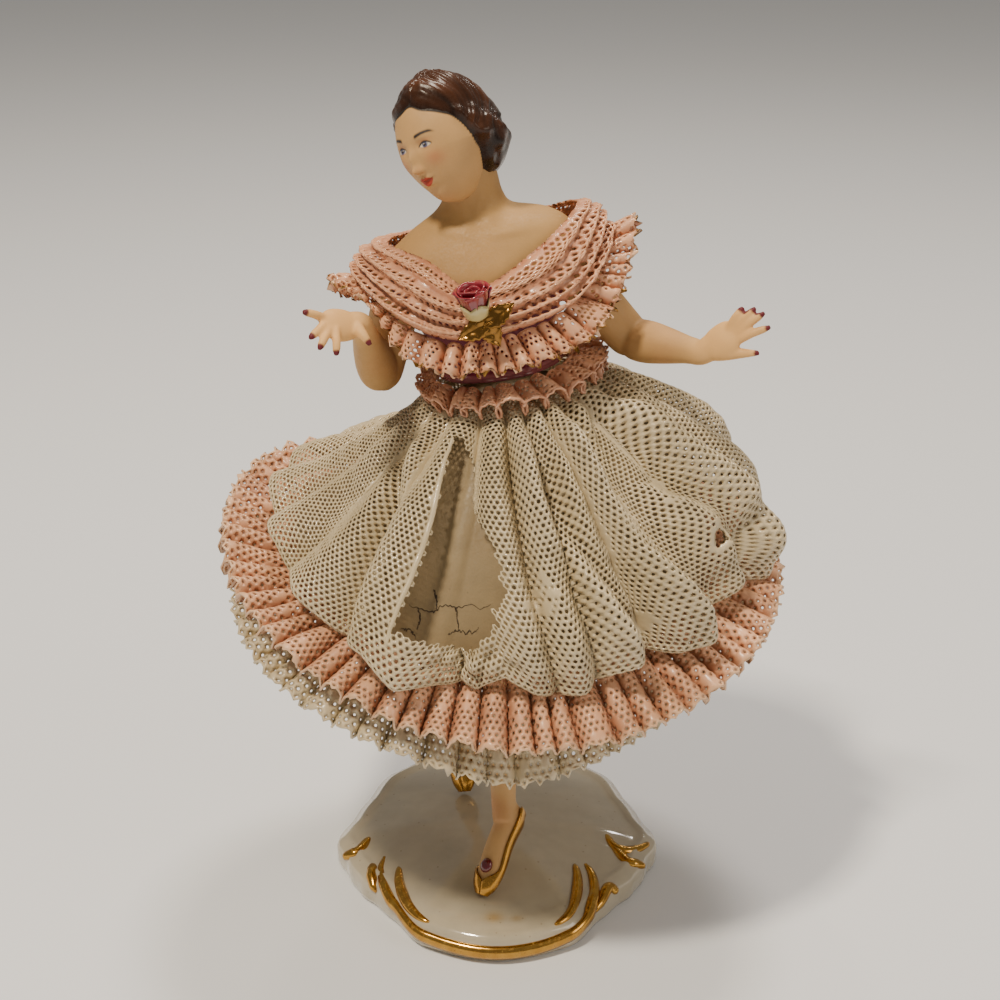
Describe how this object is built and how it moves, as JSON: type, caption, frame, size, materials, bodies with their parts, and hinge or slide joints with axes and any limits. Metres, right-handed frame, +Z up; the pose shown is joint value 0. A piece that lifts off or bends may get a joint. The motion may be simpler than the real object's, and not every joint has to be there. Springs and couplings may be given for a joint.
{
  "type": "dresden lace figurine",
  "caption": "Porcelain dancer with turned head and open arms, in a net and ruffled lace dress, standing on toe on a low lobed base with gilt scrolls.",
  "frame": {"origin": "centre of the base's flat underside", "axes": "+Z up, -Y the way the dancer's dress faces, +X towards the dancer's left hand"},
  "size_m": [0.1087, 0.0925, 0.1636],
  "materials": {
    "base_glaze": "gloss white glaze with gilt scrolls",
    "bisque": "painted bisque skin, glossy brown hair, gilt shoes",
    "cream_porcelain": "smooth cream porcelain",
    "white_net": "fired net, off-white, satin",
    "pink_lace": "fired lace, salmon pink, satin",
    "purple_glaze": "dark purple glaze",
    "rose_glaze": "crimson glaze",
    "gilding": "worn bright gilding"
  },
  "bodies": {
    "root": {"base": "base_glaze", "figure": "bisque", "underskirt": "cream_porcelain", "overskirt": "white_net", "hem_ruffle": "pink_lace", "petticoat_ruffle": "white_net", "waist_frill": "pink_lace", "waistband": "purple_glaze", "bertha": "pink_lace", "bertha_ruffle": "pink_lace", "rose": "rose_glaze", "rose_leaves": "gilding"}
  },
  "joints": []
}
